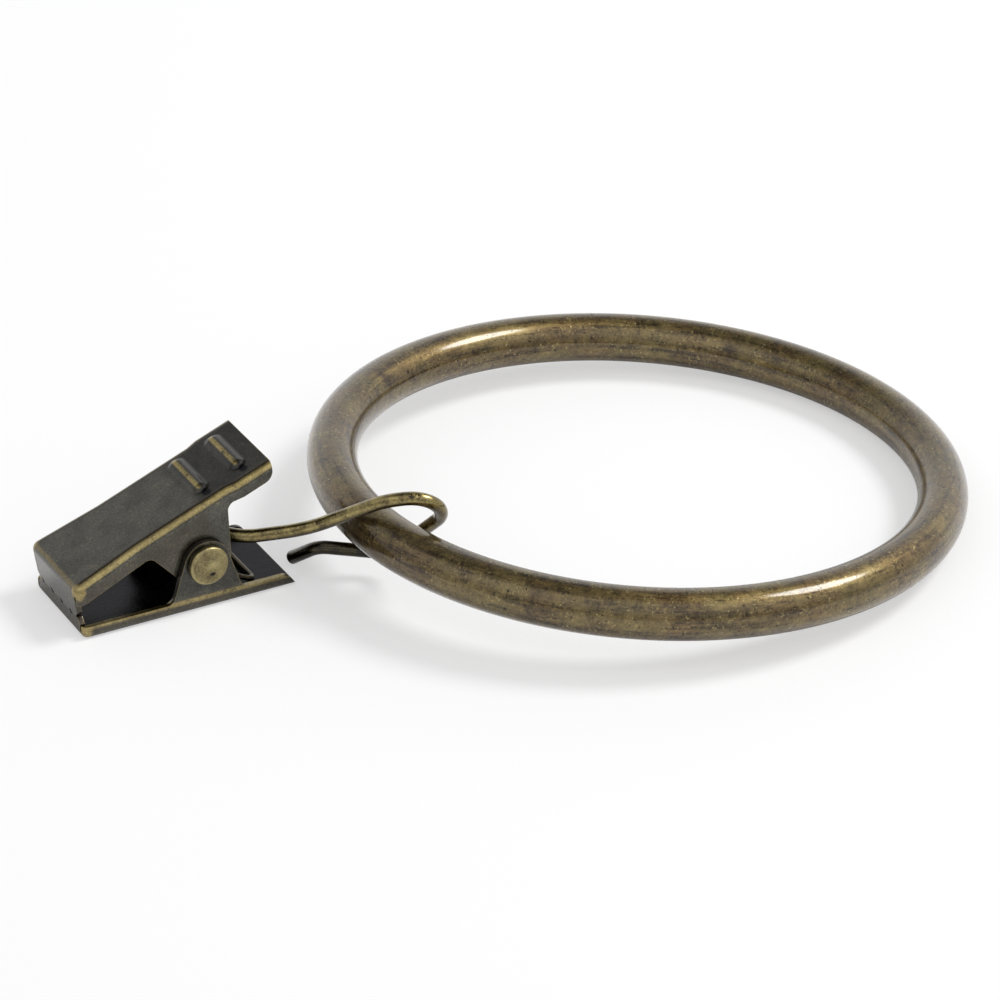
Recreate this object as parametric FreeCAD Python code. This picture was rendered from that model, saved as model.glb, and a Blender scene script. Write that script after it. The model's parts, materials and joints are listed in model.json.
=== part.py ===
import FreeCAD, Part
import math
import os

V = FreeCAD.Vector

# Ring: a round bar bent to a circle, its two ends butted
ring_inner_d = 50.0
bar_d = 4.5
butt_gap = 0.12
butt_azimuth = 65.0
ring_lift = 4.02  # underside of the bar over the floor where the hook holds it

# Hook: one bent wire
hook_wire = 1.2
hook_clear = 0.2  # wire to bar
eye_clear = 0.1  # wire to rivet
eye_sweep = 305.0
hook_reach = 13.23  # from the bar's centre out to the rivet
hook_aside = 10.89  # from the bar's centre along the bar to the rivet
dip_out = 3.47
dip_aside = -3.01
dip_rise = 0.3
dip_bend = 7.8
rise_bend = 8.7
crest_bend = 7.5
bow_bend = 2.36
under_bend = 2.5
hump_bend = 2.2
tip_out = 3.92
tip_aside = 8.28
floor_clear = 0.12
wire_chamfer = 0.12

# Both jaws are folded from the same sheet
sheet = 0.5
slot = 0.25  # relief between a front wall and the flanges beside it
tooth_pitch = 1.97
tooth_gap_w = 0.5
tooth_gap_d = 0.22
tooth_count = 4
tooth_aside = 0.35
wall_corner = 0.5
foot_fillet = 0.8  # concave corner between flange and ear

# Lower jaw, measured from the rivet axis
clip_yaw = -4.6
pivot_height = 4.4
lower_nose = 11.75
lower_tail = 8.5
lower_half = 5.1
lower_flange = 1.2
lower_bend = 0.12  # inside radius of a fold
lower_ear_r = 2.15
lower_ear_foot = 3.3
lower_tail_round = 1.2
lower_tail_rake = 0.8
bite_height = 1.75  # the line where the teeth meet, over the floor
bite_clear = 0.06

# Upper jaw, measured from the rivet axis along and across its own plate
plate_slope = 21.6
plate_height = 4.95
upper_nose = 11.25
upper_tail = 9.1
nose_half = 4.95
tail_half = 4.7
waist_reach = 4.6
waist_spread = 1.0
upper_flange = 1.7
upper_bend = 0.3
tail_flange = 1.4
upper_ear_r = 2.6
upper_ear_foot = 4.0
upper_tail_round = 1.1
upper_tail_rake = 0.6
wall_lean = 8.5  # front wall off the vertical when the jaws are shut
ear_clear = 0.15  # between the ears of the two jaws

# Grip ribs pressed out of the upper jaw's tail
rib_width = 1.5
rib_height = 0.42
rib_foot = 0.5
rib_groove_r = 0.25
rib_length = 6.2
rib_aside = 0.35
rib_places = (2.95, 6.75)

# Rivet
rivet_d = 1.8
head_d = 3.6
head_h = 0.6
head_round = 0.22
rivet_hole_clear = 0.03
running_clear = 0.05

# Double torsion spring round the rivet
spring_wire = 0.5
coil_clear = 0.1
coil_turns = 2
coil_pitch = 0.56
coil_side_gap = 0.28
bridge_reach = 5.05
bridge_bend = 0.7
leg_reach = 5.0
seat_clear = 0.02

ring_r = ring_inner_d / 2 + bar_d / 2
ring_tilt = math.degrees(math.asin(ring_lift / (2 * ring_r)))
ring_height = ring_lift / 2 + bar_d / 2
saddle = V(-ring_r * math.cos(math.radians(ring_tilt)), 0, ring_lift + bar_d / 2)
pivot = saddle + V(-hook_reach, hook_aside, pivot_height - saddle.z)
clip_place = FreeCAD.Placement(pivot, FreeCAD.Rotation(V(0, 0, 1), clip_yaw))
waist_half = lower_half - sheet - ear_clear


def corner_arc(before, corner, after, radius):
    """The arc that rounds a corner, as its first, middle and last points."""
    back = (before - corner).normalize()
    ahead = (after - corner).normalize()
    half = back.getAngle(ahead) / 2
    run = radius / math.tan(half)
    bisector = (back + ahead).normalize()
    middle = corner + bisector * (radius / math.sin(half) - radius)
    return corner + back * run, middle, corner + ahead * run


def bent_edges(points, radii, closed=False):
    """Straight runs joined by tangent arcs. Each point has its own radius, 0 for a sharp corner."""
    count = len(points)
    edges = []
    last = None
    first = None
    for i, (point, radius) in enumerate(zip(points, radii)):
        inner = closed or 0 < i < count - 1
        if inner and radius > 0:
            start, middle, end = corner_arc(points[i - 1], point, points[(i + 1) % count], radius)
        else:
            start = middle = end = point
        if last is None:
            first = start
        elif last.distanceToPoint(start) > 1e-6:
            edges.append(Part.LineSegment(last, start).toShape())
        if radius > 0 and inner:
            edges.append(Part.Arc(start, middle, end).toShape())
        last = end
    if closed and last.distanceToPoint(first) > 1e-6:
        edges.append(Part.LineSegment(last, first).toShape())
    return edges


def swept_wire(edges, diameter):
    """A round wire along tangent edges."""
    path = Part.Wire(edges)
    start = edges[0].valueAt(edges[0].FirstParameter)
    heading = edges[0].tangentAt(edges[0].FirstParameter)
    profile = Part.Wire(Part.makeCircle(diameter / 2, start, heading))
    return path.makePipeShell([profile], True, False)


def prism(points, radii, along):
    """A closed outline with rounded corners, extruded along a vector."""
    return Part.Face(Part.Wire(bent_edges(points, radii, closed=True))).extrude(along)


def box_between(low, high):
    return Part.makeBox(high.x - low.x, high.y - low.y, high.z - low.z, low)


# Ring


def make_ring():
    gap_angle = math.degrees(butt_gap / ring_r)
    section = Part.Face(Part.Wire(Part.makeCircle(bar_d / 2, V(ring_r, 0, 0), V(0, 1, 0))))
    ring = section.revolve(V(0, 0, 0), V(0, 0, 1), 360 - gap_angle)
    ring.rotate(V(0, 0, 0), V(0, 0, 1), butt_azimuth + gap_angle / 2)
    ring.rotate(V(0, 0, 0), V(0, 1, 0), ring_tilt)
    ring.translate(V(0, 0, ring_height))
    return ring


# Hook


def make_hook():
    """Eye round the rivet, shank, bow round the bar and a kinked free tail."""
    grip = bar_d / 2 + hook_wire / 2 + hook_clear
    dip = pivot + V(dip_out, dip_aside, dip_rise)
    rise = saddle + V(-1.522, 1.348, -0.132) * grip
    crest = saddle + V(-0.143, -0.702, 1.344) * grip
    bow = saddle + V(1.724, -2.346, 1.774) * grip
    under = saddle + V(0.792, 0.6, -1.292) * grip
    hump = saddle + V(-0.869, 1.863, -1.166) * grip
    tip = V(saddle.x - tip_out, tip_aside, hook_wire / 2 + floor_clear)

    heading = V(dip_out, dip_aside, 0)
    span = heading.Length
    heading.normalize()
    turned = heading.getAngle(V(1, 0, 0)) + math.radians(clip_yaw)
    eye_r = (rivet_d / 2 + hook_wire / 2 + eye_clear) / math.cos(turned)
    leave = math.atan2(dip_rise, span) + math.acos(eye_r / math.hypot(span, dip_rise))

    def on_eye(angle):
        return pivot + heading * (eye_r * math.cos(angle)) + V(0, 0, eye_r * math.sin(angle))

    sweep = math.radians(eye_sweep)
    eye = Part.Arc(on_eye(leave + sweep), on_eye(leave + sweep / 2), on_eye(leave)).toShape()
    points = [on_eye(leave), dip, rise, crest, bow, under, hump, tip]
    radii = [0, dip_bend, rise_bend, crest_bend, bow_bend, under_bend, hump_bend, 0]
    wire = swept_wire([eye] + bent_edges(points, radii), hook_wire)
    caps = [face for face in wire.Faces if face.Surface.TypeId == "Part::GeomPlane"]
    return wire.makeChamfer(wire_chamfer, [edge for face in caps for edge in face.Edges])


# Jaws. Each is made plate upwards, with the rivet axis along Y through the origin.


def ear_corner(foot, level, radius):
    """Where the ear's straight side, from its foot and tangent to its round end, meets the end's level."""
    reach = math.hypot(foot, level)
    down = math.atan2(-level, -foot)
    aim = down + math.asin(radius / reach)
    return foot + math.cos(aim) * (-radius - level) / math.sin(aim)


def side_outline(jaw):
    """The jaw seen from its side: flanges, ear and tail, as points with a radius each."""
    top = jaw["plate"]
    front_edge = top - jaw["flange"]
    tail_edge = top - jaw["tail_flange"]
    foot, ear_r = jaw["ear_foot"], jaw["ear_r"]
    back_x = ear_corner(foot, tail_edge, ear_r)
    front_x = -ear_corner(foot, front_edge, ear_r)
    return [
        (-jaw["nose"] - 2 * sheet, top + sheet, 0),
        (-jaw["nose"] - 2 * sheet, front_edge, 0),
        (-foot, front_edge, foot_fillet),
        (front_x, -ear_r, ear_r),
        (back_x, -ear_r, ear_r),
        (foot, tail_edge, foot_fillet),
        (jaw["tail"] - jaw["tail_rake"], tail_edge, jaw["tail_round"]),
        (jaw["tail"], top, 0),
        (jaw["tail"], top + sheet, 0),
    ]


def nose_frame(jaw):
    """The nose's outer corner, with the directions down along the front wall and inwards through it."""
    lean = math.radians(jaw["lean"])
    corner = V(-jaw["nose"], 0, jaw["plate"])
    down = V(math.sin(lean), 0, -math.cos(lean))
    inward = V(math.cos(lean), 0, math.sin(lean))
    return corner, down, inward


def block(jaw, inset, radius):
    """The jaw filled solid, or its hollow when inset by the sheet, its top and nose corners rounded."""
    corner, down, inward = nose_frame(jaw)
    top = jaw["plate"] - inset
    low = -jaw["ear_r"] - sheet - inset
    tail = jaw["tail"] + 2 * inset

    def wall_x(z):
        return corner.x + inset / inward.x - down.x / down.z * (jaw["plate"] - z)

    width = 2 * jaw["nose_half"]
    side = [V(x, -width, z) for x, z in ((wall_x(top), top), (tail, top), (tail, low), (wall_x(low), low))]
    ahead = min(wall_x(top), wall_x(low)) - sheet
    (first_x, first), (second_x, second) = jaw["stations"][:2]
    first += (first - second) * (first_x - ahead) / (second_x - first_x)
    stations = [(ahead, first)] + jaw["stations"][1:-1] + [(tail + sheet, jaw["stations"][-1][1])]
    left = [V(x, half - inset, low - sheet) for x, half in stations]
    right = [V(x, inset - half, low - sheet) for x, half in reversed(stations)]
    plan = prism(left + right, [0] * 2 * len(stations), V(0, 0, top - low + 2 * sheet))
    solid = plan.common(prism(side, [0] * 4, V(0, 2 * width, 0)))
    rounded = []
    for edge in solid.Edges:
        ends = [vertex.Point for vertex in edge.Vertexes]
        at_top = all(abs(p.z - top) < 1e-6 for p in ends)
        at_low = all(abs(p.z - low) < 1e-6 for p in ends)
        at_tail = all(abs(p.x - tail) < 1e-6 for p in ends)
        at_nose = all(abs(p.x - wall_x(p.z)) < 1e-6 for p in ends)
        if (at_top and not at_tail) or (at_nose and not at_low):
            rounded.append(edge)
    return solid.makeFillet(radius, rounded)


def wall_space(jaw):
    """The space of the front wall between its two reliefs, down to its notched edge."""
    corner, down, inward = nose_frame(jaw)
    half = jaw["nose_half"] - sheet - slot
    end = corner + down * jaw["wall"]
    start = V(0, -half, 0) + end - inward * sheet
    up = down * -(jaw["wall"] + sheet)
    through = inward * (4 * sheet)
    space = prism([start, start + up, start + up + through, start + through], [0] * 4, V(0, 2 * half, 0))
    for notch in wall_notches(half):
        outline = [end - inward * sheet + V(0, y, 0) - down * depth for y, depth in notch]
        space = space.cut(prism(outline, [0] * len(outline), inward * (4 * sheet)))
    return space


def wall_notches(half):
    """Triangles cut from a front wall's edge: the gaps between teeth, and the two corners."""
    past = -sheet
    spread = tooth_gap_w / 2 / tooth_gap_d * (tooth_gap_d - past)
    reach = wall_corner - past
    notches = []
    for i in range(tooth_count):
        y = (i - (tooth_count - 1) / 2) * tooth_pitch + tooth_aside
        notches.append([(y - spread, past), (y, tooth_gap_d), (y + spread, past)])
    for y in (-half, half):
        inside = y - math.copysign(reach, y)
        outside = y + math.copysign(reach, y)
        notches.append([(y, wall_corner), (inside, past), (outside, past)])
    return notches


def folded_jaw(jaw):
    """Plate, flanges, ears and front wall cut from a hollow block, with the rivet holes."""
    bend = jaw["bend"] + sheet
    shell = block(jaw, 0, bend).cut(block(jaw, sheet, jaw["bend"]))
    width = jaw["nose_half"] * 2
    outline = side_outline(jaw)
    points = [V(x, -width, z) for x, z, radius in outline]
    radii = [radius for x, z, radius in outline]
    sides = prism(points, radii, V(0, 2 * width, 0))
    body = shell.common(sides.fuse(wall_space(jaw)))
    half = jaw["nose_half"] - sheet - slot
    for y in (-half - slot, half):
        low = V(-jaw["nose"] - 2 * sheet, y, -jaw["ear_r"])
        high = V(-jaw["nose"] + bend, y + slot, jaw["plate"] - bend)
        body = body.cut(box_between(low, high))
    hole = Part.makeCylinder(jaw["hole_r"], 4 * width, V(0, -2 * width, 0), V(0, 1, 0))
    return body.cut(hole).removeSplitter()


def capsule(radius, half, centre):
    """A rod along Y with round ends."""
    reach = half - radius
    rod = Part.makeCylinder(radius, 2 * reach, centre - V(0, reach, 0), V(0, 1, 0))
    for side in (-reach, reach):
        rod = rod.fuse(Part.makeSphere(radius, centre + V(0, side, 0)))
    return rod


def press_ribs(body):
    """Grip ribs across the tail: each stands out on top and leaves a groove below."""
    crown = ((rib_width / 2) ** 2 + rib_height ** 2) / (2 * rib_height)
    half = rib_length / 2
    for x in rib_places:
        centre = V(x, rib_aside, plate_height + rib_height - crown)
        above = box_between(V(x - 2 * crown, -2 * half, plate_height - sheet / 2),
                            V(x + 2 * crown, 2 * half, plate_height + crown))
        body = body.fuse(capsule(crown, half, centre).common(above)).removeSplitter()
    feet = [edge for edge in body.Edges if is_rib_foot(edge)]
    body = body.makeFillet(rib_foot, feet)
    for x in rib_places:
        groove = V(x, rib_aside, plate_height + rib_height - sheet - rib_groove_r)
        body = body.cut(capsule(rib_groove_r, half - sheet, groove))
    return body


def is_rib_foot(edge):
    """Whether an edge is part of a rib's outline on the plate's outer face."""
    box = edge.BoundBox
    flat = abs(box.ZMin - plate_height) < 1e-4 and abs(box.ZMax - plate_height) < 1e-4
    inside = max(abs(box.YMin), abs(box.YMax)) < tail_half - sheet - upper_bend - 1e-3
    beside = any(abs(box.Center.x - x) <= rib_width / 2 + 1e-3 for x in rib_places)
    return flat and inside and beside and box.XMax < upper_tail - 1e-3


def make_lower_jaw():
    jaw = {
        "plate": pivot_height,
        "nose": lower_nose,
        "tail": lower_tail,
        "nose_half": lower_half,
        "stations": [(-lower_nose, lower_half), (lower_tail, lower_half)],
        "bend": lower_bend,
        "flange": lower_flange,
        "tail_flange": lower_flange,
        "ear_foot": lower_ear_foot,
        "ear_r": lower_ear_r,
        "tail_round": lower_tail_round,
        "tail_rake": lower_tail_rake,
        "lean": 0,
        "wall": bite_height - bite_clear / 2,
        "hole_r": rivet_d / 2 + rivet_hole_clear,
    }
    return folded_jaw(jaw).mirror(V(0, 0, 0), V(0, 0, 1))


def make_upper_jaw():
    slope = math.radians(plate_slope)
    nose_height = plate_height * math.cos(slope) - upper_nose * math.sin(slope)
    bite = bite_height + bite_clear / 2 - pivot_height
    jaw = {
        "plate": plate_height,
        "nose": upper_nose,
        "tail": upper_tail,
        "nose_half": nose_half,
        "stations": [
            (-upper_nose, nose_half),
            (-waist_reach, waist_half),
            (waist_reach, waist_half),
            (waist_reach + waist_spread, tail_half),
            (upper_tail, tail_half),
        ],
        "bend": upper_bend,
        "flange": upper_flange,
        "tail_flange": tail_flange,
        "ear_foot": upper_ear_foot,
        "ear_r": upper_ear_r,
        "tail_round": upper_tail_round,
        "tail_rake": upper_tail_rake,
        "lean": wall_lean - plate_slope,
        "wall": (nose_height - bite) / math.cos(math.radians(wall_lean)),
        "hole_r": rivet_d / 2 + running_clear,
    }
    body = press_ribs(folded_jaw(jaw))
    body.rotate(V(0, 0, 0), V(0, 1, 0), -plate_slope)
    return body


# Rivet


def make_rivet():
    body = Part.makeCylinder(rivet_d / 2, 2 * lower_half, V(0, -lower_half, 0), V(0, 1, 0))
    for side in (-1, 1):
        head = Part.makeCylinder(head_d / 2, head_h, V(0, side * lower_half, 0), V(0, side, 0))
        rim = [edge for edge in head.Edges if abs(edge.BoundBox.Center.y) > lower_half + head_h * 0.9]
        body = body.fuse(head.makeFillet(head_round, rim))
    return body.removeSplitter()


# Spring


def tangent_angle(point, radius, turn):
    """The angle of the place on a circle where the line from a point touches it."""
    return math.atan2(point.z, point.x) + turn * math.acos(radius / math.hypot(point.x, point.z))


def coil_edges(radius, start, sweep, y, advance):
    """A coil round the Y axis as quarter turns, each an arc through three points of the helix."""
    count = round(abs(sweep) / (math.pi / 2))

    def at(share):
        angle = start + sweep * share
        return V(radius * math.cos(angle), y + advance * share, radius * math.sin(angle))

    quarters = [[at((i + part) / count) for part in (0, 0.5, 1)] for i in range(count)]
    return [Part.Arc(*points).toShape() for points in quarters]


def make_spring():
    """Two coils, a bridge between them on the lower tail, and two legs under the upper plate."""
    half_wire = spring_wire / 2
    coil_r = rivet_d / 2 + coil_clear + half_wire
    slope = math.radians(plate_slope)
    under_plate = plate_height - sheet - half_wire - seat_clear
    seat = V(bridge_reach, 0, -pivot_height + sheet + half_wire + seat_clear)
    lift = V(leg_reach * math.cos(slope) - under_plate * math.sin(slope), 0,
             leg_reach * math.sin(slope) + under_plate * math.cos(slope))
    start = tangent_angle(lift, coil_r, 1)
    sweep = (tangent_angle(seat, coil_r, -1) - start) % (2 * math.pi) + 2 * math.pi * coil_turns
    advance = -coil_pitch * sweep / (2 * math.pi)
    outside = waist_half - sheet - coil_side_gap - half_wire
    coil = coil_edges(coil_r, start, sweep, -outside - advance, advance)
    first = coil[0].valueAt(coil[0].FirstParameter)
    last = coil[-1].valueAt(coil[-1].LastParameter)
    inwards = coil[0].tangentAt(coil[0].FirstParameter)
    onwards = coil[-1].tangentAt(coil[-1].LastParameter)
    leg_end = first - inwards * ((first.x - lift.x) / inwards.x)
    corner = last + onwards * ((seat.x - last.x) / onwards.x)
    tail = bent_edges([last, corner, V(corner.x, 0, corner.z)], [0, bridge_bend, 0])
    path = [Part.LineSegment(leg_end, first).toShape()] + coil + tail
    half = swept_wire(path, spring_wire)
    return half.fuse(half.mirror(V(0, 0, 0), V(0, 1, 0))).removeSplitter()


def stand_on_origin(shapes):
    """Moves the whole part so that its box stands on the origin, centred over it."""
    box = Part.makeCompound(list(shapes.values())).optimalBoundingBox(False)
    shift = V(-box.Center.x, -box.Center.y, -box.ZMin)
    for shape in shapes.values():
        shape.translate(shift)


def placed(shape):
    """Moves a clip piece from the rivet's own frame to its place at the end of the hook."""
    shape.Placement = clip_place.multiply(shape.Placement)
    return shape


parts = {
    "ring": make_ring(),
    "wire_hook": make_hook(),
    "lower_jaw": placed(make_lower_jaw()),
    "upper_jaw": placed(make_upper_jaw()),
    "pivot_rivet": placed(make_rivet()),
    "torsion_spring": placed(make_spring()),
}
stand_on_origin(parts)

os.makedirs("parts", exist_ok=True)
for name, shape in parts.items():
    shape.exportStep("parts/" + name + ".step")
    print(name, len(shape.Solids), shape.isValid(), round(shape.Volume, 3))
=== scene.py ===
import json
import math

import bmesh
import bpy
from mathutils import Matrix, Vector

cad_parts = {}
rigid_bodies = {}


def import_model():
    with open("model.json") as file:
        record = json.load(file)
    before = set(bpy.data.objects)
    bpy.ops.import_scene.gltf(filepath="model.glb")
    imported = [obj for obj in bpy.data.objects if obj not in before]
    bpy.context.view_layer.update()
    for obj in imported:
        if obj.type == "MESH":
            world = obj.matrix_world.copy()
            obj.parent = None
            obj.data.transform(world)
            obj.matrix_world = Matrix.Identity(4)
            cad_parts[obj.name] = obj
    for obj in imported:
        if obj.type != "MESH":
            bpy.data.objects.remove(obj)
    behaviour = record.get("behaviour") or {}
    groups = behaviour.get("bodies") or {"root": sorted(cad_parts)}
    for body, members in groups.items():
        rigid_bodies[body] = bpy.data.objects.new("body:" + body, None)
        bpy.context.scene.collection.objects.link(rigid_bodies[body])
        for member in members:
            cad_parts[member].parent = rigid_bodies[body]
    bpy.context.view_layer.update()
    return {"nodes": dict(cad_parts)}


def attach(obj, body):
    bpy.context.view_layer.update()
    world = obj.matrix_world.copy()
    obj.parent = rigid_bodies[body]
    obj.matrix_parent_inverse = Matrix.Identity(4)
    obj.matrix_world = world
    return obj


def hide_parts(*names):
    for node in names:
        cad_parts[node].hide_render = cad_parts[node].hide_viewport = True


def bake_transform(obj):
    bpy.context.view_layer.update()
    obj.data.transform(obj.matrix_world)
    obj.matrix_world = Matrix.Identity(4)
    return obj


MM = 0.001

# Where the part's pieces are, in millimetres and degrees in the row frame
RING_CENTRE = (11.7346, 0.0, 4.26)
RING_R = 27.25
BAR_R = 2.25
RING_TILT = 4.2304
BUTT_AZIMUTH = 65.0
BUTT_GAP = 0.03
RIVET = (-28.6712, 10.89, 4.4)
CLIP_YAW = -4.6

# The jaws, measured from the rivet
SKIN = 0.44  # a little less than the sheet's thickness
PLATE_SLOPE = 21.6
PLATE_HEIGHT = 4.95
UPPER_NOSE = 11.25
NOSE_HALF = 4.95
WAIST_HALF = 4.45
TAIL_HALF = 4.7
WAIST_REACH = 4.6
WAIST_SPREAD = 1.0
RIBS = (2.95, 6.75)
LOWER_FRONT = 11.0
LOWER_HALF = 5.1
TOOTH_PITCH = 1.97
TOOTH_ASIDE = -0.635
TOOTH_FRONT = 10.4
TOOTH_HALF = 4.0
BITE = -2.65

# The hook: its eye, its corners with their bend radii, its tip, and the nicks in its wire with their reach
HOOK_WIRE = 1.2
EYE_R = 1.9864
EYE_SWEEP = 305.0
EYE_END_GIRTH = 0.84
DIP = (3.47, -3.01, 0.3)
HOOK_CORNERS = (
    ((-25.2012, 7.88, 4.7), 7.8),
    ((-20.0833, 4.1114, 5.8674), 8.7),
    ((-15.8774, -2.1411, 10.3692), 7.5),
    ((-10.183, -7.1553, 11.6807), 2.36),
    ((-13.0256, 1.83, 2.3294), 2.5),
    ((-18.0917, 5.6822, 2.7137), 2.2),
)
HOOK_TIP = (-19.3612, 8.28, 0.72)
TIP_ROUND = ((0.14, 1.0), (0.04, 0.93), (0.0, 0.8))  # distance from the tip, girth
NICKS = (
    ((-14.4, -3.94, 11.17), 0.42),
    ((-13.98, -4.2, 11.13), 0.42),
    ((-19.7, 2.85, 7.0), 0.4),
)

# How finely the meshes are cut, and how the CAD copies are cleaned
RING_STEPS = 420
BAR_SIDES = 64
WIRE_SIDES = 32
EYE_STEPS = 60
BEND_STEPS = 28
MERGE_DISTANCE = 2e-7
FLAT_ANGLE = 0.3
SHARP_ANGLE = 38
NORMAL_WEIGHT = 80
SHEET_EDGE = 0.06

# Finish, floor, light and camera
COAT_ROUGHNESS = 0.12
STREAK_ALONG = 0.13
STREAK_ROUND = 1.9
FLOOR_REACH = 3.0
FLOOR_DROP = 0.00002
FLOOR_GLOW = 0.47
BACKDROP = (0.544, 0.839, 0.0)
CEILING = (0.07, 0.30, 0.95)
LAMP_AIM = (0, 0, 0.005)
LENS = 165.14
SENSOR = 36.0
CAMERA_PLACE = (-193.067, -293.637, 202.535)
CAMERA_TILT = 60.6
CAMERA_TURN = -32.93

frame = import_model()
nodes = frame["nodes"]


def input_of(node, key):
    """The input that a keyword means: i3 is input number 3, From_Min the one named From Min."""
    if key[0] == "i" and key[1:].isdigit():
        return node.inputs[int(key[1:])]
    return node.inputs[key.replace("_", " ")]


def linked(name, data):
    """A new object in the scene."""
    thing = bpy.data.objects.new(name, data)
    bpy.context.scene.collection.objects.link(thing)
    return thing


def settled(holder, name):
    """A plain mesh object with the holder's modifiers applied, in the holder's stead."""
    shown = holder.evaluated_get(bpy.context.evaluated_depsgraph_get())
    made = bpy.data.meshes.new_from_object(shown)
    made.name = name
    bpy.data.objects.remove(holder)
    return linked(name, made)


# Shader maths


class Field:
    """A socket of a shader tree. Arithmetic on it adds Math nodes; make() adds any other node."""

    def __init__(self, tree, socket=None):
        self.tree = tree
        self.socket = socket

    def make(self, kind, settings=None, out=0, **values):
        node = self.tree.nodes.new(kind)
        for key, value in (settings or {}).items():
            setattr(node, key, value)
        for key, value in values.items():
            socket = input_of(node, key)
            if isinstance(value, Field):
                self.tree.links.new(value.socket, socket)
            else:
                socket.default_value = value
        return Field(self.tree, node.outputs[out]) if node.outputs else node

    def math(self, operation, *values):
        inputs = {f"i{i}": value for i, value in enumerate(values)}
        return self.make("ShaderNodeMath", {"operation": operation}, **inputs)

    def vector(self, operation, other, out=0):
        return self.make("ShaderNodeVectorMath", {"operation": operation}, out=out, i0=self, i1=other)

    def __add__(self, other):
        return self.math("ADD", self, other)

    def __radd__(self, other):
        return self.math("ADD", other, self)

    def __sub__(self, other):
        return self.math("SUBTRACT", self, other)

    def __rsub__(self, other):
        return self.math("SUBTRACT", other, self)

    def __mul__(self, other):
        return self.math("MULTIPLY", self, other)

    def __rmul__(self, other):
        return self.math("MULTIPLY", other, self)

    def __truediv__(self, other):
        return self.math("DIVIDE", self, other)

    def __pow__(self, other):
        return self.math("POWER", self, other)

    def __abs__(self):
        return self.math("ABSOLUTE", self)

    def least(self, other):
        return self.math("MINIMUM", self, other)

    def most(self, other):
        return self.math("MAXIMUM", self, other)

    def step(self, low, high):
        """Eases from 0 to 1 as the value goes from low to high."""
        settings = {"interpolation_type": "SMOOTHSTEP"}
        return self.make("ShaderNodeMapRange", settings, Value=self, From_Min=low, From_Max=high)

    def scaled(self, x, y=None, z=None):
        factors = (x, x if y is None else y, x if z is None else z)
        return self.vector("MULTIPLY", factors)

    def dot(self, other):
        return self.vector("DOT_PRODUCT", other, out=1)

    def parts(self):
        split = self.make("ShaderNodeSeparateXYZ", Vector=self)
        return [Field(self.tree, socket) for socket in split.socket.node.outputs]

    def noise(self, scale, detail=3.0, rough=0.55):
        return self.make("ShaderNodeTexNoise", Vector=self, Scale=scale, Detail=detail, Roughness=rough)

    def mix(self, low, high):
        """The colour low where the value is 0, high where it is 1."""
        settings = {"data_type": "RGBA", "clamp_factor": True}
        return self.make("ShaderNodeMix", settings, out=2, i0=self, i6=low, i7=high)


def emptied(owner):
    """The start of a material's or world's shader tree, with no nodes in it."""
    owner.use_nodes = True
    owner.node_tree.nodes.clear()
    return Field(owner.node_tree)


def finish(name, recipe):
    """A lacquered metal from a recipe that returns what varies over the surface."""
    material = bpy.data.materials.new(name)
    start = emptied(material)
    position = start.make("ShaderNodeTexCoord", out=3)
    looks = recipe(position.scaled(1 / MM))
    shader = start.make("ShaderNodeBsdfPrincipled", Coat_Roughness=COAT_ROUGHNESS, **looks)
    start.make("ShaderNodeOutputMaterial", Surface=shader)
    return material


def rgb(r, g, b):
    return (r, g, b, 1.0)


def bumped(field, height, distance, strength):
    return field.make("ShaderNodeBump", Height=height, Distance=distance, Strength=strength)


def edge_wear(position, reach):
    """1 along sharp edges, fading within reach millimetres of them."""
    soft = position.make("ShaderNodeBevel", {"samples": 6}, Radius=reach * MM)
    true = position.make("ShaderNodeNewGeometry", out=1)
    return (1 - soft.dot(true)).step(0.02, 0.22)


def in_clip_frame(position, slope):
    """Object coordinates about the rivet, turned to lie along a jaw's plate."""
    return position.make(
        "ShaderNodeMapping",
        {"vector_type": "TEXTURE"},
        Vector=position,
        Location=RIVET,
        Rotation=(0.0, math.radians(-slope), math.radians(CLIP_YAW)),
    )


def spot(p, place, reach):
    """1 at a place, fading out over reach millimetres."""
    return p.vector("DISTANCE", place, out=1).step(reach, 0.3 * reach)


# Finishes


def ring_recipe(p):
    """Brown patina over brass under clear lacquer, specked, and streaked along the bar."""
    along = p.make("ShaderNodeAttribute", {"attribute_name": "along_bar"}, out=1)
    blotch = p.noise(0.22, 3.0, 0.6).step(0.36, 0.64)
    cloud = p.noise(0.85, 5.0, 0.75).step(0.34, 0.66)
    grain = p.noise(4.0, 4.0, 0.8).step(0.34, 0.66)
    streak = along.noise(1.0, 4.0, 0.65).step(0.46, 0.66)
    rub = along.scaled(4.0, 1.6, 1.6).noise(0.8, 4.0, 0.7).step(0.5, 0.68)
    speck = p.noise(3.6, 3.0, 0.8).step(0.57, 0.67) * p.noise(0.6, 2.0).step(0.4, 0.57)
    pit = p.noise(3.0, 2.0, 0.6).step(0.39, 0.32) * p.noise(0.5, 2.0).step(0.4, 0.6)
    tone = 0.5 * cloud + 0.4 * grain + 0.2 * blotch + 0.3 * rub - 0.42 * streak
    brown = tone.mix(rgb(0.036, 0.021, 0.008), rgb(0.218, 0.146, 0.056))
    olive = tone.mix(rgb(0.042, 0.029, 0.010), rgb(0.224, 0.168, 0.062))
    colour = blotch.mix(brown, olive)
    colour = (0.8 * speck).mix(colour, rgb(0.46, 0.37, 0.165))
    colour = (0.85 * pit).mix(colour, rgb(0.014, 0.009, 0.004))
    return {
        "Base_Color": colour,
        "Metallic": 1.0,
        "Roughness": 0.38 + 0.1 * cloud + 0.06 * pit,
        "Coat_Weight": 0.95 - 0.35 * pit,
        "Normal": bumped(p, 0.6 * grain + cloud - pit, 0.014 * MM, 0.55),
    }


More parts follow.
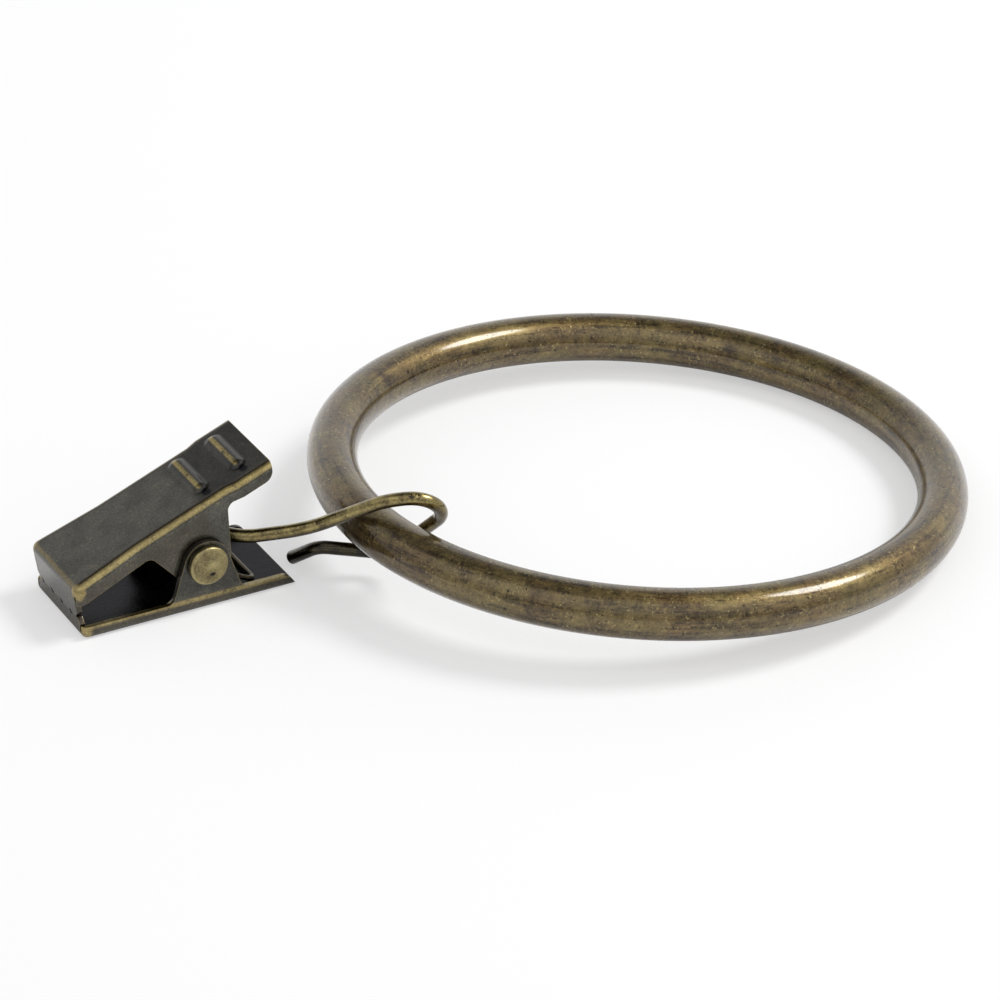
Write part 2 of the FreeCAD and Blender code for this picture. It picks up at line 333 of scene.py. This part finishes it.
def jaw_colours(p, brass, brown, painted_shade_and_dark):
    """Specked grey plating: brass where it is rubbed through, brown beside that, and deep blue-grey where the
    last mask is set: painted shade in the clip's inside, holes and recesses, and plain darkening elsewhere.
    """
    cloud = p.noise(0.5, 4.0, 0.6).step(0.3, 0.7)
    grain = p.noise(6.0, 3.0, 0.8).step(0.3, 0.7)
    speck = p.noise(4.0, 2.0, 0.8).step(0.58, 0.68) * p.noise(0.5, 2.0).step(0.4, 0.6)
    tone = 0.4 * cloud + 0.6 * grain
    plating = tone.mix(rgb(0.034, 0.033, 0.027), rgb(0.142, 0.136, 0.110))
    plating = (speck * 0.6).mix(plating, rgb(0.30, 0.25, 0.13))
    # Painted shade: deep blue-grey wherever the shade mask is set.
    plating = painted_shade_and_dark.mix(plating, rgb(0.008, 0.008, 0.011))
    plating = (brown * 0.85).mix(plating, rgb(0.040, 0.024, 0.009))
    patch = p.noise(1.5, 3.0, 0.65).step(0.22, 0.5)
    rubbed = (brass * (0.25 + 0.85 * patch)).least(1.0).most(0.0)
    gold = tone.mix(rgb(0.15, 0.11, 0.036), rgb(0.46, 0.37, 0.155))
    return {
        "Base_Color": rubbed.mix(plating, gold),
        "Metallic": 1.0,
        "Roughness": 0.36 + 0.1 * cloud - 0.14 * painted_shade_and_dark - 0.06 * rubbed,
        # The coat is taken away with the painted shade, so those parts reflect almost nothing.
        "Coat_Weight": 0.65 * (1 - 0.95 * painted_shade_and_dark),
        "Normal": bumped(p, 0.5 * grain + cloud, 0.012 * MM, 0.5),
    }


def tooth_hole_shade(p):
    """Painted shade in the small holes along the line where the two front walls meet."""
    x, y, z = in_clip_frame(p, 0.0).parts()
    beside = y.math("PINGPONG", y - TOOTH_ASIDE, TOOTH_PITCH / 2)
    gap = (beside ** 2 + (z - BITE) ** 2).step(0.12, 0.06)
    return gap * (x + TOOTH_FRONT).step(0.0, -0.2) * abs(y).step(TOOTH_HALF, TOOTH_HALF - 0.2)


def rib_crest(x, place):
    """A narrow line just ahead of a rib's top, where thumbs rub it."""
    return abs(x - (place - 0.08)).step(0.3, 0.1)


def rib_end_shade(x, y, place):
    """Painted shade where a rib's near end meets the plate, in a recess the light does not reach."""
    return ((x - place - 0.2) ** 2 + (0.8 * (y + 3.0)) ** 2).step(0.4, 0.05)


def upper_jaw_recipe(p):
    """Brass along the folds, ribs and corners, brown beside the folds, painted shade inside, in the tooth holes
    and at the ribs' near ends, and darkening towards the tail.
    """
    x, y, z = in_clip_frame(p, PLATE_SLOPE).parts()
    flare = (NOSE_HALF - WAIST_HALF) * ((-WAIST_REACH - x) / (UPPER_NOSE - WAIST_REACH)).most(0.0)
    spread = (TAIL_HALF - WAIST_HALF) / WAIST_SPREAD * (x - WAIST_REACH).most(0.0).least(WAIST_SPREAD)
    side = WAIST_HALF + flare + spread - abs(y)
    nose = x + UPPER_NOSE
    drop = PLATE_HEIGHT - z
    over_side = drop - side
    over_nose = drop - nose
    near_top = drop.step(0.95, 0.75)
    side_band = over_side.step(-0.62, -0.42) * over_side.step(0.45, 0.2) * side.step(0.95, 0.75) * near_top
    side_brown = over_side.step(-1.05, -0.7) * over_side.step(-0.45, -0.62) * drop.step(0.5, 0.3)
    nose_band = over_nose.step(-0.6, -0.3) * over_nose.step(0.25, -0.1) * nose.step(0.95, 0.75) * near_top
    corner = (nose - 0.15) ** 2 + (side - 0.15) ** 2 + (drop - 0.35) ** 2
    corner = (corner * (0.5 + p.noise(1.5))).step(1.0, 0.25)
    crests = rib_crest(x, RIBS[0]) + rib_crest(x, RIBS[1])
    rib = drop.step(-0.2, -0.36) * crests * p.noise(1.1).step(0.3, 0.48)
    rib_end_shades = rib_end_shade(x, y, RIBS[0]) + rib_end_shade(x, y, RIBS[1])
    outside = drop.step(0.3, 0.1)
    # Painted shade: the inside of the jaw.
    hollow_painted_shade = (drop - SKIN).step(0.0, 0.06) * (side - SKIN).step(0.0, 0.06) * (nose - 0.55).step(0.0, 0.1)
    tail = 0.62 * (x - 1.2).step(0.0, 1.6) * outside
    flange = 0.45 * over_side.step(0.5, 0.9) * (x - 2.0).step(0.5, -0.5)
    brass = side_band + 0.45 * nose_band + corner + rib + 0.8 * edge_wear(p, 0.14)
    brown = side_brown.most(0.5 * nose_band).most(flange)
    hole_shade = tooth_hole_shade(p)
    # The deep mask: painted shade inside, in the tooth holes and at the ribs' near ends, with plain darkening
    # towards the tail.
    painted_shade_and_dark = hollow_painted_shade.most(tail * (1 - side_brown)).most(rib_end_shades * outside).most(hole_shade)
    return jaw_colours(p, brass * (1 - rib_end_shades.most(hole_shade)), brown * (1 - hole_shade), painted_shade_and_dark)


def lower_jaw_recipe(p):
    """Brass on the flanges' lips and front ends, brown low on the flanges, brown painted shade on the set-back
    front wall, painted shade inside and in the tooth holes, and darkening on the ears and on the far flange by
    the tail.
    """
    x, y, z = in_clip_frame(p, 0.0).parts()
    side = LOWER_HALF - abs(y)
    rise = z + RIVET[2]
    nose = x + LOWER_FRONT
    flange = (side - 0.52).step(0.05, -0.02)
    lip = flange * rise.step(0.8, 1.12) * rise.step(1.5, 1.25)
    front = flange * nose.step(0.3, -0.3)
    foot = (rise - side).step(0.05, -0.35) * flange
    far_tail = (y - 3.0).step(0.0, 0.5) * (x - 4.0).step(0.0, 1.0) * flange * rise.step(0.3, 0.6)
    brass = (0.9 * lip + front + 0.35 * foot + 0.9 * edge_wear(p, 0.14)) * (1 - far_tail)
    # Painted shade: the inside of the jaw.
    hollow_painted_shade = (side - 0.46).step(0.0, 0.06) * (rise - SKIN).step(0.0, 0.04) * nose.step(0.0, 0.1)
    # Painted shade: the lower front wall, set back behind the upper jaw's wall, is made a deeper brown.
    wall = (nose - 0.1).step(0.0, -0.2) * (1 - flange)
    brown = (0.45 * flange * rise.step(1.8, 1.1)).most(0.75 * wall)
    ear = 0.4 * flange * rise.step(1.2, 2.2)
    hole_shade = tooth_hole_shade(p)
    # The deep mask: painted shade inside and in the tooth holes, with plain darkening on the ears and the far
    # flange by the tail.
    painted_shade_and_dark = hollow_painted_shade.most(0.9 * far_tail).most(ear).most(hole_shade)
    return jaw_colours(p, brass * (1 - hole_shade), brown * (1 - hole_shade), painted_shade_and_dark)


def hook_recipe(p):
    """Brass wire, bright on the shank and bow, with painted shade on its downward faces, in its eye within the
    clip and along its tail beneath the ring.
    """
    x, _, z = p.parts()
    cloud = p.noise(0.75, 4.0, 0.7).step(0.34, 0.64)
    grain = p.noise(5.0, 3.0, 0.8).step(0.3, 0.7)
    tail = (z - 5.2).step(0.8, -0.6) * (x + 22.5).step(0.0, 1.5)
    eye = (x + 25.2).step(1.4, -1.2)
    nicks = sum(spot(p, place, reach) for place, reach in NICKS)
    nicks = (nicks * p.noise(2.6, 2.0).step(0.4, 0.5)).least(1.0)
    # Painted shade along the tail beneath the ring and in the eye within the clip.
    dark = (tail + 0.7 * eye).least(1.0) * (0.7 + 0.3 * cloud)
    tone = 0.65 * cloud + 0.4 * grain
    colour = tone.mix(rgb(0.050, 0.032, 0.011), rgb(0.38, 0.305, 0.115))
    # Painted shade: faces that point down are made darker.
    under = p.make("ShaderNodeTexCoord", out=1).parts()[2].step(0.15, -0.6)
    colour = (0.8 * under).mix(colour, rgb(0.026, 0.017, 0.007))
    colour = dark.mix(colour, rgb(0.020, 0.017, 0.012))
    colour = nicks.mix(colour, rgb(0.022, 0.011, 0.005))
    return {
        "Base_Color": colour,
        "Metallic": 1.0,
        "Roughness": 0.19 + 0.1 * cloud - 0.03 * dark,
        "Coat_Weight": 0.6,
        "Normal": bumped(p, 0.7 * grain + cloud - 3 * nicks, 0.014 * MM, 0.6),
    }


def rivet_recipe(p):
    """Worn brass head: a bright edge that is partly rubbed brass and partly a painted highlight, a pale patch
    off centre that is a painted highlight, and a small pit.
    """
    x, _, z = in_clip_frame(p, 0.0).parts()
    cloud = p.noise(0.9, 4.0, 0.65).step(0.3, 0.7)
    grain = p.noise(7.0, 3.0, 0.7).step(0.3, 0.7)
    reach = (x ** 2 + z ** 2) ** 0.5
    # Rubbed brass and a painted highlight round the head's edge.
    rim_wear_and_highlight = reach.step(1.45, 1.72)
    # Painted highlight: a pale patch off centre.
    patch = ((x - 0.35) ** 2 + (z - 0.1) ** 2) ** 0.5
    hole = ((0.8 * (x - 0.25)) ** 2 + (1.3 * (z + 0.78)) ** 2) ** 0.5
    hole = hole.step(0.26, 0.14)
    tone = 0.45 * cloud + 0.35 * grain + 0.3 * rim_wear_and_highlight + 0.4 * patch.step(0.9, 0.1)
    colour = tone.mix(rgb(0.055, 0.041, 0.016), rgb(0.46, 0.385, 0.18))
    colour = hole.mix(colour, rgb(0.012, 0.009, 0.005))
    return {
        "Base_Color": colour,
        "Metallic": 1.0,
        "Roughness": 0.33 + 0.1 * cloud,
        "Coat_Weight": 0.4,
        "Normal": bumped(p, 0.05 * grain + 0.1 * cloud - 0.4 * hole - 0.14 * reach ** 2, 0.3 * MM, 0.5),
    }


def spring_recipe(p):
    """Dark wire, a little uneven."""
    cloud = p.noise(1.4, 3.0, 0.6).step(0.3, 0.7)
    return {
        "Base_Color": cloud.mix(rgb(0.03, 0.026, 0.02), rgb(0.095, 0.075, 0.04)),
        "Metallic": 1.0,
        "Roughness": 0.26 + 0.1 * cloud,
        "Coat_Weight": 0.3,
    }


ring_brass = finish("ring_antique_brass", ring_recipe)
upper_plating = finish("upper_jaw_plating", upper_jaw_recipe)
lower_plating = finish("lower_jaw_plating", lower_jaw_recipe)
hook_brass = finish("hook_wire_brass", hook_recipe)
rivet_brass = finish("rivet_worn_brass", rivet_recipe)
spring_dark = finish("spring_dark_wire", spring_recipe)


# Pieces


class Tree:
    """A Geometry Nodes tree with named inputs, built node by node."""

    def __init__(self, name, sizes, start=False):
        self.group = bpy.data.node_groups.new(name, "GeometryNodeTree")
        self.group.interface.new_socket("Geometry", in_out="OUTPUT", socket_type="NodeSocketGeometry")
        if start:
            self.group.interface.new_socket("Geometry", in_out="INPUT", socket_type="NodeSocketGeometry")
        self.sizes = sizes
        self.ids = {}
        for label, value in sizes.items():
            kind = "NodeSocketInt" if isinstance(value, int) else "NodeSocketFloat"
            socket = self.group.interface.new_socket(label, in_out="INPUT", socket_type=kind)
            self.ids[label] = socket.identifier
        self.inputs = self.group.nodes.new("NodeGroupInput")

    def size(self, label):
        return self.inputs.outputs[label]

    def add(self, kind, settings=None, **values):
        node = self.group.nodes.new(kind)
        for key, value in (settings or {}).items():
            setattr(node, key, value)
        for key, value in values.items():
            socket = input_of(node, key)
            if isinstance(value, bpy.types.NodeSocket):
                self.group.links.new(value, socket)
            else:
                socket.default_value = value
        return node

    def mesh(self, name, geometry, material, start=None):
        """Ends the tree, runs it once on the start mesh and returns a plain mesh object."""
        real = self.add("GeometryNodeRealizeInstances", Geometry=geometry)
        painted = self.add("GeometryNodeSetMaterial", Geometry=real.outputs[0], Material=material)
        end = self.group.nodes.new("NodeGroupOutput")
        self.group.links.new(painted.outputs[0], end.inputs[0])
        holder = linked(name + "_tree", start or bpy.data.meshes.new(name + "_tree"))
        modifier = holder.modifiers.new("tree", "NODES")
        modifier.node_group = self.group
        for label, value in self.sizes.items():
            modifier[self.ids[label]] = value
        return settled(holder, name)


def smooth(mesh):
    mesh.polygons.foreach_set("use_smooth", [True] * len(mesh.polygons))


def make_ring():
    """A bar swept round a circle, with its two ends butted."""
    gap = BUTT_GAP / RING_R
    tree = Tree("ring_bar", {
        "Ring radius": RING_R * MM,
        "Bar radius": BAR_R * MM,
        "Turn": 2 * math.pi - gap,
        "Start": math.radians(BUTT_AZIMUTH) + gap / 2,
        "Tilt": math.radians(RING_TILT),
    })
    arc = tree.add("GeometryNodeCurveArc", {"mode": "RADIUS"}, Resolution=RING_STEPS,
                   Radius=tree.size("Ring radius"), Start_Angle=tree.size("Start"),
                   Sweep_Angle=tree.size("Turn"))
    section = tree.add("GeometryNodeCurvePrimitiveCircle", {"mode": "RADIUS"}, Resolution=BAR_SIDES,
                       Radius=tree.size("Bar radius"))
    swept = tree.add("GeometryNodeCurveToMesh", Curve=arc.outputs[0], Profile_Curve=section.outputs[0],
                     Fill_Caps=True)
    tilt = tree.add("ShaderNodeCombineXYZ", Y=tree.size("Tilt"))
    turned = tree.add("GeometryNodeTransform", Geometry=swept.outputs[0], Rotation=tilt.outputs[0],
                      Translation=Vector(RING_CENTRE) * MM)
    piece = tree.mesh("ring_bar", turned.outputs[0], ring_brass)
    add_bar_map(piece.data)
    smooth(piece.data)
    return piece


def add_bar_map(mesh):
    """Stores a place along the bar and round it at each point, so that streaks follow the bar."""
    flat = Matrix.Rotation(math.radians(-RING_TILT), 3, "Y")
    field = mesh.attributes.new("along_bar", "FLOAT_VECTOR", "POINT")
    for item, vertex in zip(field.data, mesh.vertices):
        place = flat @ (vertex.co / MM - Vector(RING_CENTRE))
        out = math.hypot(place.x, place.y)
        turn = math.atan2(place.y, place.x) - math.radians(BUTT_AZIMUTH)
        run = RING_R * (turn % (2 * math.pi))
        item.vector = (STREAK_ALONG * run, STREAK_ROUND * (out - RING_R), STREAK_ROUND * place.z)


def hook_path():
    """Points of the hook's centre line with the bend radius and girth at each: eye, shank, bow and tail."""
    heading = Vector((DIP[0], DIP[1], 0))
    span = heading.length
    heading.normalize()
    leave = math.atan2(DIP[2], span) + math.acos(EYE_R / math.hypot(span, DIP[2]))
    sweep = math.radians(EYE_SWEEP)
    path = []
    for i in range(EYE_STEPS + 1):
        angle = leave + sweep * (1 - i / EYE_STEPS)
        place = Vector(RIVET) + heading * (EYE_R * math.cos(angle)) + Vector((0, 0, EYE_R * math.sin(angle)))
        path.append((place, 0.0, EYE_END_GIRTH if i == 0 else 1.0))
    path += [(Vector(place), bend, 1.0) for place, bend in HOOK_CORNERS]
    tip = Vector(HOOK_TIP)
    back = (path[-1][0] - tip).normalized()
    path += [(tip + back * run, 0.0, girth) for run, girth in TIP_ROUND]
    return path


def store(mesh, name, values):
    """Stores a number at each point of a mesh."""
    mesh.attributes.new(name, "FLOAT", "POINT").data.foreach_set("value", values)


def make_hook():
    """The wire swept along its path, its corners bent round."""
    places, bends, girths = zip(*hook_path())
    spine = bpy.data.meshes.new("hook_spine")
    spine.from_pydata([place * MM for place in places], [(i, i + 1) for i in range(len(places) - 1)], [])
    store(spine, "bend", [bend * MM for bend in bends])
    store(spine, "girth", list(girths))
    tree = Tree("hook_wire", {"Wire radius": HOOK_WIRE / 2 * MM, "Bend steps": BEND_STEPS}, start=True)
    curve = tree.add("GeometryNodeMeshToCurve", Mesh=tree.size("Geometry"))
    bend = tree.add("GeometryNodeInputNamedAttribute", {"data_type": "FLOAT"}, Name="bend")
    girth = tree.add("GeometryNodeInputNamedAttribute", {"data_type": "FLOAT"}, Name="girth")
    thick = tree.add("GeometryNodeSetCurveRadius", Curve=curve.outputs[0], Radius=girth.outputs[0])
    bent = tree.add("GeometryNodeFilletCurve", {"mode": "POLY"}, Curve=thick.outputs[0],
                    Count=tree.size("Bend steps"), Radius=bend.outputs[0])
    section = tree.add("GeometryNodeCurvePrimitiveCircle", {"mode": "RADIUS"}, Resolution=WIRE_SIDES,
                       Radius=tree.size("Wire radius"))
    radius = tree.add("GeometryNodeInputRadius")
    swept = tree.add("GeometryNodeCurveToMesh", Curve=bent.outputs[0], Profile_Curve=section.outputs[0],
                     Scale=radius.outputs[0], Fill_Caps=True)
    piece = tree.mesh("hook_wire", swept.outputs[0], hook_brass, spine)
    smooth(piece.data)
    return piece


def dressed(node, name, material, edge):
    """A merged copy of a CAD node, its sharp edges broken by a small round."""
    mesh = nodes[node].data.copy()
    shape = bmesh.new()
    shape.from_mesh(mesh)
    bmesh.ops.remove_doubles(shape, verts=shape.verts, dist=MERGE_DISTANCE)
    bmesh.ops.dissolve_limit(shape, angle_limit=math.radians(FLAT_ANGLE), verts=shape.verts, edges=shape.edges)
    shape.to_mesh(mesh)
    shape.free()
    smooth(mesh)
    mesh.materials.clear()
    mesh.materials.append(material)
    holder = linked(name + "_raw", mesh)
    if edge:
        bevel = holder.modifiers.new("edges", "BEVEL")
        bevel.width = edge * MM
        bevel.segments = 2
        bevel.limit_method = "ANGLE"
        bevel.angle_limit = math.radians(SHARP_ANGLE)
        bevel.use_clamp_overlap = True
    even = holder.modifiers.new("normals", "WEIGHTED_NORMAL")
    even.weight = NORMAL_WEIGHT
    return settled(holder, name)


def take_over(piece, node, body):
    """The piece moves with a body and shows in place of a CAD node."""
    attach(piece, body)
    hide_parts(node)


def wind_spring(piece):
    """Shows the spring piece in place of the CAD spring, fixed where it is; nothing here winds it or moves it
    with the jaw.
    """
    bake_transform(piece)
    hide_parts("torsion_spring")


take_over(make_ring(), "ring", "ring")
take_over(make_hook(), "wire_hook", "hook")
take_over(dressed("upper_jaw", "upper_jaw_sheet", upper_plating, SHEET_EDGE), "upper_jaw", "jaw")
take_over(dressed("lower_jaw", "lower_jaw_sheet", lower_plating, SHEET_EDGE), "lower_jaw", "clip")
take_over(dressed("pivot_rivet", "rivet_heads", rivet_brass, 0.0), "pivot_rivet", "clip")
wind_spring(dressed("torsion_spring", "spring_coils", spring_dark, 0.0))


# Floor, light and camera


def floor_material():
    """White paper that also glows, for the camera alone, so that it comes out white and keeps soft shadows."""
    material = bpy.data.materials.new("floor_white")
    start = emptied(material)
    paper = start.make("ShaderNodeBsdfDiffuse", Color=rgb(0.96, 0.96, 0.965))
    glow = start.make("ShaderNodeEmission", Color=rgb(1, 1, 1), Strength=1.0)
    seen = start.make("ShaderNodeLightPath", out=0)
    surface = start.make("ShaderNodeMixShader", i0=FLOOR_GLOW * seen, i1=paper, i2=glow)
    start.make("ShaderNodeOutputMaterial", Surface=surface)
    return material


def make_floor():
    reach = FLOOR_REACH
    corners = [(-reach, -reach, 0), (reach, -reach, 0), (reach, reach, 0), (-reach, reach, 0)]
    mesh = bpy.data.meshes.new("floor")
    mesh.from_pydata(corners, [], [(0, 1, 2, 3)])
    mesh.materials.append(floor_material())
    floor = linked("floor", mesh)
    floor.location.z = -FLOOR_DROP


def sky():
    """Soft surroundings: a pale backdrop behind, a front that is bright above and dim below, a dark ceiling."""
    world = bpy.data.worlds.new("studio")
    bpy.context.scene.world = world
    start = emptied(world)
    towards = start.make("ShaderNodeTexCoord", out=0)
    behind = towards.dot(BACKDROP)
    overhead = towards.dot(CEILING)
    height = towards.parts()[2]
    front = behind.step(0.25, -0.45)
    level = 0.76 + 0.42 * behind.step(0.1, 0.9) * height.step(0.75, 0.3)
    level = level + 0.62 * front * height.step(0.3, 0.7)
    level = level - 0.58 * overhead.step(0.74, 0.93) - 0.2 * front * height.step(0.35, 0.05)
    start.make("ShaderNodeOutputWorld", Surface=start.make("ShaderNodeBackground", Strength=level))


def lamp(name, azimuth, elevation, distance, size, power):
    """A round area lamp that faces the ring."""
    data = bpy.data.lights.new(name, "AREA")
    data.shape = "DISK"
    data.size = size
    data.energy = power
    turn = math.radians(azimuth)
    rise = math.radians(elevation)
    towards = Vector((math.cos(turn) * math.cos(rise), math.sin(turn) * math.cos(rise), math.sin(rise)))
    light = linked(name, data)
    light.location = Vector(LAMP_AIM) + towards * distance
    light.rotation_euler = towards.to_track_quat("Z", "Y").to_euler()


def make_camera():
    data = bpy.data.cameras.new("camera")
    data.lens = LENS
    data.sensor_width = SENSOR
    data.clip_start = 0.01
    camera = linked("camera", data)
    camera.location = Vector(CAMERA_PLACE) * MM
    camera.rotation_euler = (math.radians(CAMERA_TILT), 0, math.radians(CAMERA_TURN))
    bpy.context.scene.camera = camera


make_floor()
sky()
lamp("key_right", azimuth=-18.0, elevation=51.0, distance=0.7, size=0.26, power=2.6)
make_camera()
bpy.context.scene.view_settings.view_transform = "Standard"
